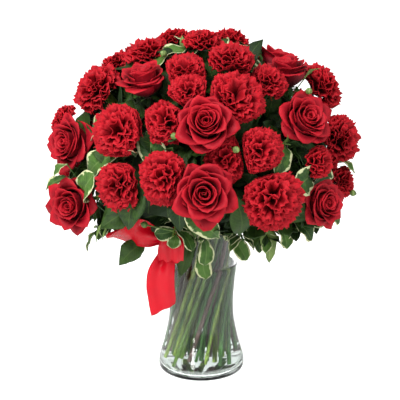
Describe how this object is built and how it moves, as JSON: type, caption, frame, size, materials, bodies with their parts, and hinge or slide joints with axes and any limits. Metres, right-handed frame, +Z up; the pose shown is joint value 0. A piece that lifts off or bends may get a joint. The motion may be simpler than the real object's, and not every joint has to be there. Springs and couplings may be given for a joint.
{
  "type": "flower bouquet in a vase",
  "caption": "Low round bouquet of red roses, carnations and spray carnations with dark and variegated leaves in a clear waisted glass vase with a red satin bow.",
  "frame": {"origin": "middle of the vase's foot, on the surface it stands on", "axes": "+Z up along the vase's axis, the bow and the front of the bouquet towards -Y"},
  "size_m": [0.4029, 0.3957, 0.4576],
  "materials": {
    "glass": "clear, polished",
    "water": "clear water",
    "satin": "satin",
    "wire": "green florist's wire coating",
    "rose_petals": "velvety petals",
    "carnation_petals": "ruffled petals",
    "spray_carnation_petals": "ruffled petals",
    "green": "waxy leaves and stems"
  },
  "bodies": {
    "root": {"vase": "glass", "water": "water", "ribbon": "satin", "bow_wire": "wire", "rose_01": "rose_petals", "rose_02": "rose_petals", "rose_03": "rose_petals", "rose_04": "rose_petals", "rose_05": "rose_petals", "rose_06": "rose_petals", "rose_07": "rose_petals", "rose_08": "rose_petals", "rose_09": "rose_petals", "rose_10": "rose_petals", "rose_11": "rose_petals", "rose_12": "rose_petals", "carnation_01": "carnation_petals", "carnation_02": "carnation_petals", "carnation_03": "carnation_petals", "carnation_04": "carnation_petals", "carnation_05": "carnation_petals", "carnation_06": "carnation_petals", "carnation_07": "carnation_petals", "carnation_08": "carnation_petals", "carnation_09": "carnation_petals", "carnation_10": "carnation_petals", "carnation_11": "carnation_petals", "carnation_12": "carnation_petals", "carnation_13": "carnation_petals", "carnation_14": "carnation_petals", "carnation_15": "carnation_petals", "carnation_16": "carnation_petals", "carnation_17": "carnation_petals", "carnation_18": "carnation_petals", "carnation_19": "carnation_petals", "carnation_20": "carnation_petals", "carnation_21": "carnation_petals", "carnation_22": "carnation_petals", "carnation_23": "carnation_petals", "carnation_24": "carnation_petals", "carnation_25": "carnation_petals", "carnation_26": "carnation_petals", "carnation_27": "carnation_petals", "mini_carnation_01": "spray_carnation_petals", "mini_carnation_02": "spray_carnation_petals", "mini_carnation_03": "spray_carnation_petals", "mini_carnation_04": "spray_carnation_petals", "mini_carnation_05": "spray_carnation_petals", "mini_carnation_06": "spray_carnation_petals", "mini_carnation_07": "spray_carnation_petals", "mini_carnation_08": "spray_carnation_petals", "mini_carnation_09": "spray_carnation_petals", "mini_carnation_10": "spray_carnation_petals", "stems_and_leaves": "green"}
  },
  "joints": []
}
